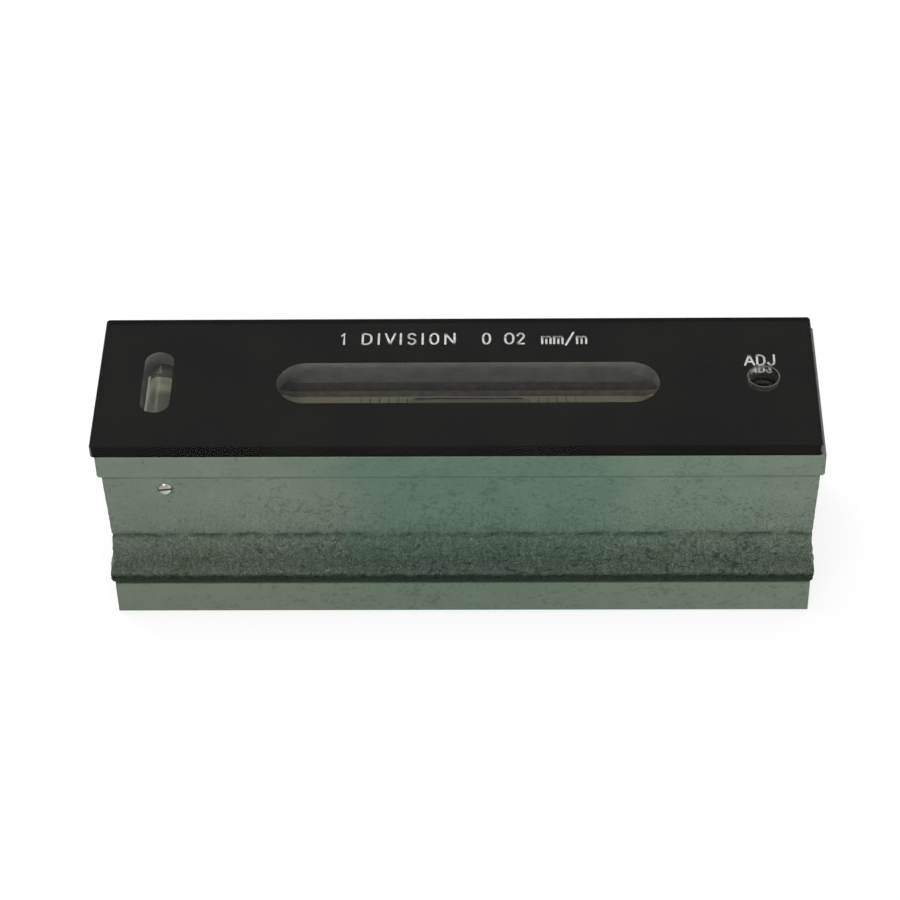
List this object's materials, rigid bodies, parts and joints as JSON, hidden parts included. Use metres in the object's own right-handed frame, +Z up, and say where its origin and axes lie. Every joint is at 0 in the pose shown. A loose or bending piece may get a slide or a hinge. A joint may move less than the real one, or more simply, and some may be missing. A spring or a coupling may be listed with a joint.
{
  "type": "precision level",
  "caption": "Flat precision machinist level: ribbed cast base with V-groove, clear cover over a main vial and a cross vial, screw-adjusted vial carrier.",
  "frame": {"origin": "middle of the ground base, on the plane of its two lands", "axes": "+X along the base towards the adjusting screw, +Y to the back, +Z up"},
  "size_m": [0.153, 0.0458, 0.048],
  "materials": {
    "green_paint": "green textured enamel over cast iron",
    "black_print": "black reverse print",
    "clear_acrylic": "clear acrylic, polished edges",
    "vial_glass": "ground glass tube",
    "spirit": "pale clear spirit",
    "bubble": "vapour bubble",
    "packing": "set plaster",
    "bronze": "dull turned bronze",
    "bright_steel": "turned steel",
    "black_screw": "black oxide",
    "spring_steel": "drawn wire",
    "holder_sheet": "milled aluminium"
  },
  "bodies": {
    "level_body": {"body_casting": "green_paint", "top_plate": "green_paint", "top_plate_screws": "black_screw", "cover_mask": "black_print", "cover_plate": "clear_acrylic", "front_pivot_screw": "bright_steel", "rear_pivot_screw": "bright_steel", "adj_screw_bush": "black_screw", "adj_spring": "spring_steel", "cross_vial": "vial_glass", "cross_vial_discs": "vial_glass", "cross_liquid": "spirit", "cross_vial_holder": "holder_sheet"},
    "carrier": {"vial_carrier": "bronze", "pivot_block": "bronze", "adjusting_block": "bronze", "main_vial": "vial_glass", "main_vial_discs": "vial_glass", "main_liquid": "spirit", "vial_packings": "packing"},
    "adjuster": {"adj_screw": "black_screw"},
    "main_bubble": {"main_bubble": "bubble"},
    "cross_bubble": {"cross_bubble": "bubble"}
  },
  "joints": [
    {"name": "adj_turn", "type": "hinge", "parent": "level_body", "child": "adjuster", "pos_m": [0.0642, 0.0011, 0.0401], "axis": [0, 0, 1], "range_deg": [-360, 360]},
    {"name": "carrier_tilt", "type": "hinge", "parent": "level_body", "child": "carrier", "pos_m": [-0.0623, 0.0011, 0.03425], "axis": [0, -1, 0], "range_deg": [-0.2264, 0.2264], "deforming": ["adj_spring"]},
    {"name": "main_bubble_slide", "type": "slide", "parent": "carrier", "child": "main_bubble", "axis": [1, 0, 0], "range_m": [-0.026, 0.026], "stiffness_N_per_m": 0.05, "deforming": ["main_liquid"]},
    {"name": "cross_bubble_slide", "type": "slide", "parent": "level_body", "child": "cross_bubble", "axis": [0, 1, 0], "range_m": [-0.0028, 0.0028], "stiffness_N_per_m": 0.05, "deforming": ["cross_liquid"]}
  ],
  "couplings": [
    {"joint": "adj_turn", "follows": "carrier_tilt", "ratio": -1589.7}
  ]
}
